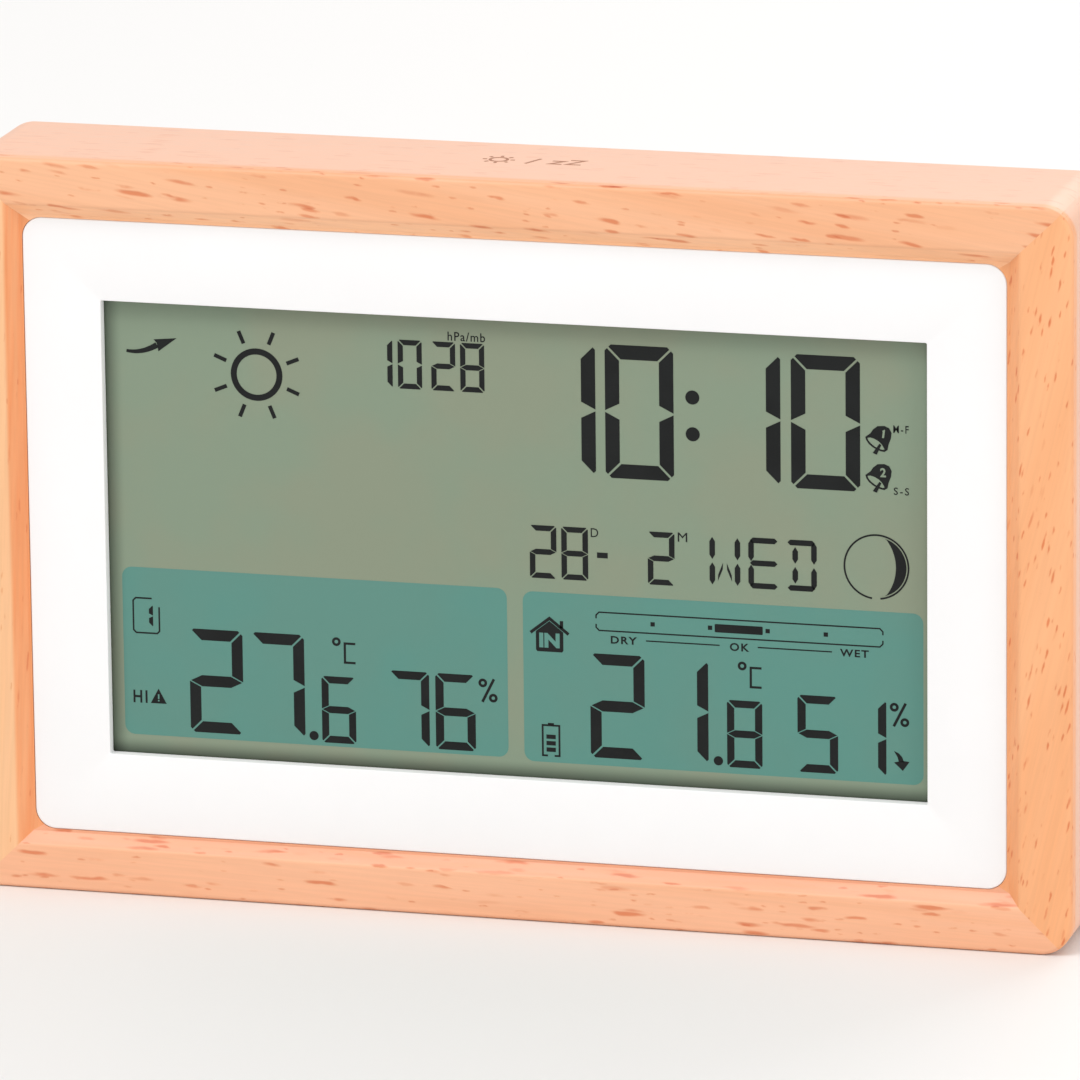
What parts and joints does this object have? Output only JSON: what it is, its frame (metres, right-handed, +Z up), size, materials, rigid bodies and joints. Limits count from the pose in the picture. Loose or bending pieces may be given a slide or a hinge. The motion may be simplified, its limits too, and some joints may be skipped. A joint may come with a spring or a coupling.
{
  "type": "home weather station",
  "caption": "Desk weather station: a mitred wooden frame around a white bezel and a large LCD, with rear keys, a slide switch, a wall keyhole and a battery door.",
  "frame": {"origin": "on the standing surface, under the middle of the object's box", "axes": "+X to the object's right as seen from the front, +Y from the display to the rear cover, +Z up"},
  "size_m": [0.166, 0.0254, 0.11],
  "materials": {
    "beech": "steamed beech, sanded and clear oiled, satin, with short darker ray flecks",
    "bezel_white": "white ABS, fine satin moulded surface",
    "lcd_cell": "grey-green reflective LCD cell under a satin polariser film",
    "light_guide": "clear acrylic, polished",
    "board_green": "green solder mask on glass-fibre board",
    "epoxy_black": "black epoxy drop",
    "black_plastic": "black moulded plastic, fine texture",
    "sensor_white": "white moulded plastic",
    "steel": "nickel-plated steel",
    "copper": "bare copper foil and wire",
    "elastomer": "layered conductive silicone strip",
    "rear_white": "white ABS, fine spark-eroded texture",
    "key_grey": "light grey moulded plastic, satin",
    "cell_jacket": "printed foil jacket, plain",
    "wire_red": "red insulated lead",
    "wire_black": "black insulated lead"
  },
  "bodies": {
    "housing": {"frame_top_rail": "beech", "frame_bottom_rail": "beech", "frame_left_stile": "beech", "frame_right_stile": "beech", "bezel_plate": "bezel_white", "lcd_holder": "bezel_white", "lcd_front_glass": "lcd_cell", "lcd_rear_glass": "lcd_cell", "backlight_light_guide": "light_guide", "backlight_led_board": "board_green", "main_pcb": "board_green", "rf_receiver_board": "board_green", "usb_board": "board_green", "chip_glob_top": "epoxy_black", "buzzer": "black_plastic", "tact_switch_1": "black_plastic", "tact_switch_2": "black_plastic", "tact_switch_3": "black_plastic", "tact_switch_4": "black_plastic", "tact_switch_5": "black_plastic", "tact_switch_6": "black_plastic", "humidity_sensor": "sensor_white", "quartz_crystal": "steel", "pressure_sensor": "steel", "slide_switch_body": "steel", "usb_socket": "steel", "touch_contact_spring": "steel", "battery_bridge": "steel", "battery_contact_plus": "steel", "battery_contact_minus": "steel", "battery_spring_1": "steel", "battery_spring_2": "steel", "cover_screw_1": "steel", "cover_screw_2": "steel", "cover_screw_3": "steel", "cover_screw_4": "steel", "pcb_screw_1": "steel", "pcb_screw_2": "steel", "pcb_screw_3": "steel", "pcb_screw_4": "steel", "touch_pad": "copper", "rf_antenna": "copper", "zebra_connector": "elastomer", "rear_cover": "rear_white", "battery_1": "cell_jacket", "battery_2": "cell_jacket", "battery_lead_red": "wire_red", "battery_lead_black": "wire_black"},
    "battery_door": {"battery_door": "rear_white"},
    "slide_switch": {"slide_switch_knob": "black_plastic"},
    "key_set": {"button_set": "key_grey"},
    "key_plus": {"button_plus": "key_grey"},
    "key_minus": {"button_minus": "key_grey"},
    "key_alarm": {"button_alarm": "key_grey"},
    "key_channel": {"button_channel": "key_grey"},
    "key_history": {"button_history": "key_grey"}
  },
  "joints": [
    {"name": "key_set_press", "type": "slide", "parent": "housing", "child": "key_set", "axis": [0, -1, 0], "range_m": [0, 0.0005], "stiffness_N_per_m": 2000, "springref_m": -0.0002},
    {"name": "key_plus_press", "type": "slide", "parent": "housing", "child": "key_plus", "axis": [0, -1, 0], "range_m": [0, 0.0005], "stiffness_N_per_m": 2000, "springref_m": -0.0002},
    {"name": "key_minus_press", "type": "slide", "parent": "housing", "child": "key_minus", "axis": [0, -1, 0], "range_m": [0, 0.0005], "stiffness_N_per_m": 2000, "springref_m": -0.0002},
    {"name": "key_alarm_press", "type": "slide", "parent": "housing", "child": "key_alarm", "axis": [0, -1, 0], "range_m": [0, 0.0005], "stiffness_N_per_m": 2000, "springref_m": -0.0002},
    {"name": "key_channel_press", "type": "slide", "parent": "housing", "child": "key_channel", "axis": [0, -1, 0], "range_m": [0, 0.0005], "stiffness_N_per_m": 2000, "springref_m": -0.0002},
    {"name": "key_history_press", "type": "slide", "parent": "housing", "child": "key_history", "axis": [0, -1, 0], "range_m": [0, 0.0005], "stiffness_N_per_m": 2000, "springref_m": -0.0002},
    {"name": "slide_switch_travel", "type": "slide", "parent": "housing", "child": "slide_switch", "axis": [1, 0, 0], "range_m": [0, 0.002]},
    {"name": "battery_door_swing", "type": "hinge", "parent": "housing", "child": "battery_door", "pos_m": [0, 0.0116, 0.0137], "axis": [-1, 0, 0], "range_deg": [0, 90]}
  ]
}
